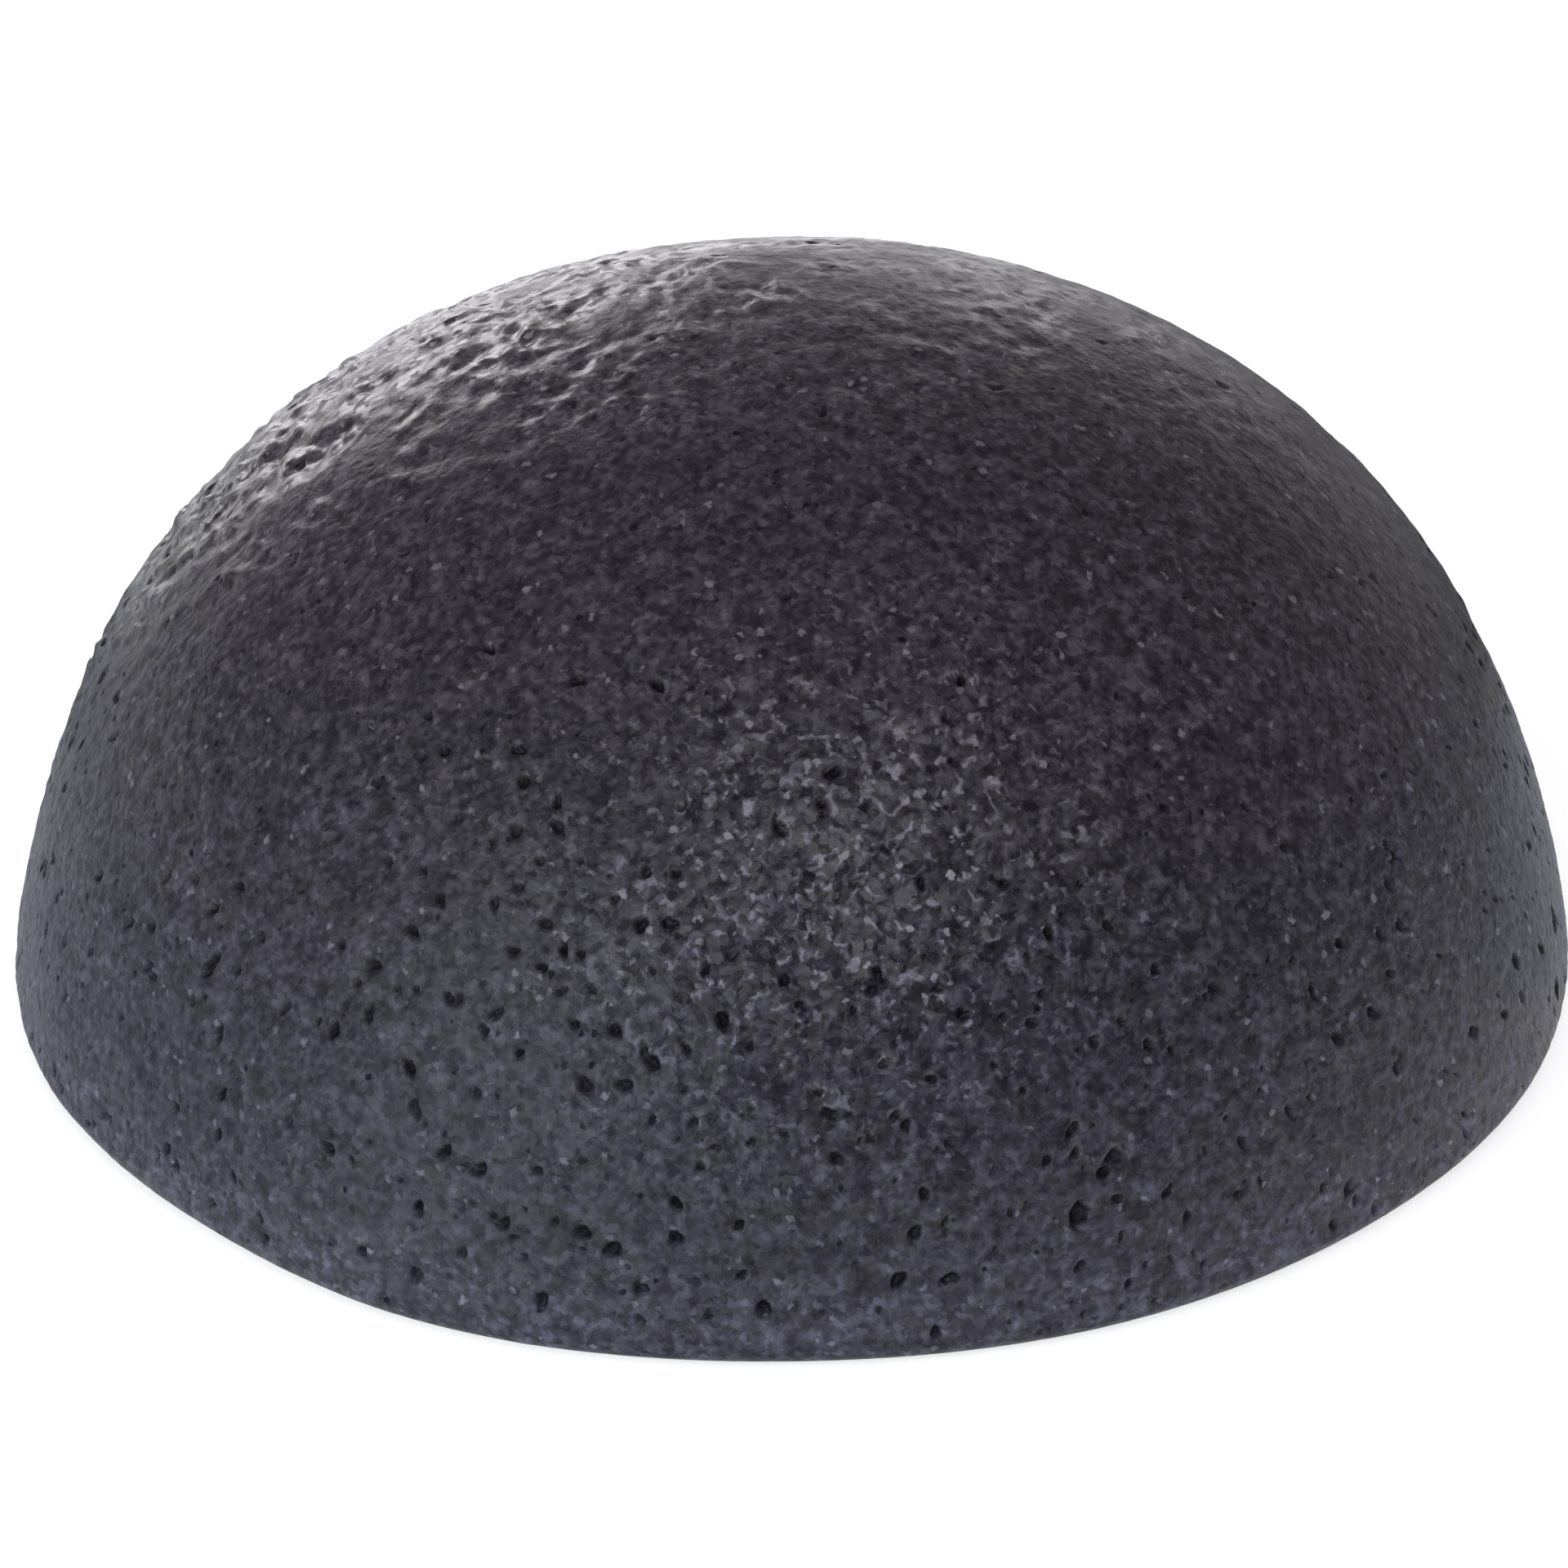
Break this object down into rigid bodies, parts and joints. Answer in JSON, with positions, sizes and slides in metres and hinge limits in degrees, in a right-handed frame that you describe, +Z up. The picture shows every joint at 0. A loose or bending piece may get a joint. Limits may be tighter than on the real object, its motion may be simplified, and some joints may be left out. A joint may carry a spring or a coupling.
{
  "type": "konjac sponge",
  "caption": "Half-ball konjac cleansing sponge in charcoal grey, with a flat base, a rounded rim and open pores.",
  "frame": {"origin": "middle of the flat face that the sponge stands on", "axes": "+Z up out of the flat face through the top of the dome; +X and +Y lie in the flat face and are interchangeable, because the dome is round"},
  "size_m": [0.08, 0.08, 0.0366],
  "materials": {
    "dome_gel": "satin",
    "base_gel": "matte",
    "core_foam": "matte"
  },
  "bodies": {
    "root": {"dome_skin": "dome_gel", "base_skin": "base_gel", "foam_core": "core_foam"}
  },
  "joints": []
}
